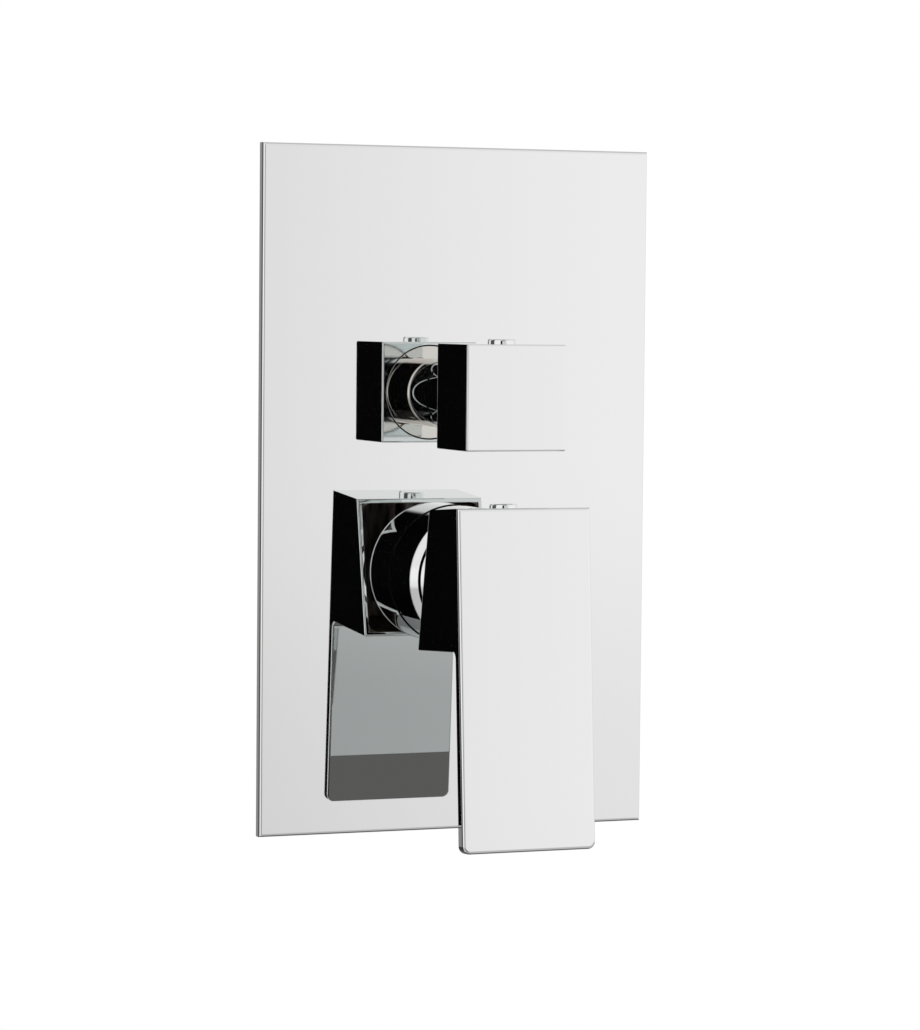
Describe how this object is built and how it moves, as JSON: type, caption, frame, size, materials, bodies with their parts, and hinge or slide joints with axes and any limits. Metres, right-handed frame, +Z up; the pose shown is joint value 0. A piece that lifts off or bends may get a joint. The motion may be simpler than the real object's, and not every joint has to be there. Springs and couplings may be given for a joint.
{
  "type": "concealed shower mixer",
  "caption": "Wall-mounted concealed shower mixer: chrome cover plate, single lever for flow and temperature, square diverter knob, and a brass body behind the wall.",
  "frame": {"origin": "middle of the cover plate, on the finished wall, where the foam gasket's back meets it", "axes": "+X to the right as seen by the user, +Y into the wall, +Z up"},
  "size_m": [0.12, 0.1203, 0.2],
  "materials": {
    "chrome": "mirror-polished chrome plate",
    "brass": "cast and machined",
    "steel": "bright stainless",
    "cartridge_plastic": "moulded acetal",
    "core_plastic": "moulded nylon",
    "ceramic": "polished ceramic",
    "rubber": "matte",
    "foam": "closed-cell foam"
  },
  "bodies": {
    "root": {"wall_plate": "chrome", "mixer_sleeve": "chrome", "diverter_sleeve": "chrome", "cartridge_nut": "chrome", "valve_body": "brass", "diverter_headwork": "brass", "cartridge_housing": "cartridge_plastic", "cartridge_base": "cartridge_plastic", "fixed_disc": "ceramic", "diverter_stator": "ceramic", "cartridge_seals": "rubber", "diverter_seat_seal": "rubber", "mixer_plate_ring": "rubber", "diverter_plate_ring": "rubber", "headwork_washer": "rubber", "plate_gasket": "foam"},
    "turret": {"turret": "core_plastic", "pivot_pin": "steel"},
    "disc": {"moving_disc": "ceramic", "disc_carrier": "core_plastic"},
    "lever": {"lever": "chrome", "lever_stem": "brass", "lever_grub_screw": "steel", "lever_screw_cap": "chrome"},
    "knob": {"knob": "chrome", "knob_grub_screw": "steel", "knob_screw_cap": "chrome", "diverter_spindle": "brass", "spindle_oring": "rubber", "spindle_circlip": "steel", "diverter_rotor": "ceramic"}
  },
  "joints": [
    {"name": "temperature", "type": "hinge", "parent": "root", "child": "turret", "pos_m": [0, 0, -0.025], "axis": [0, 1, 0], "range_deg": [-45, 45]},
    {"name": "flow", "type": "hinge", "parent": "turret", "child": "lever", "pos_m": [0, -0.02, -0.025], "axis": [-1, 0, 0], "range_deg": [0, 15]},
    {"name": "disc_slide", "type": "slide", "parent": "turret", "child": "disc", "axis": [0, 0, -1], "range_m": [0, 0.00523]},
    {"name": "diverter", "type": "hinge", "parent": "root", "child": "knob", "pos_m": [0, 0, 0.028], "axis": [0, 1, 0], "range_deg": [0, 90]}
  ],
  "couplings": [
    {"joint": "disc_slide", "follows": "flow", "m_per_rad": 0.019943}
  ]
}
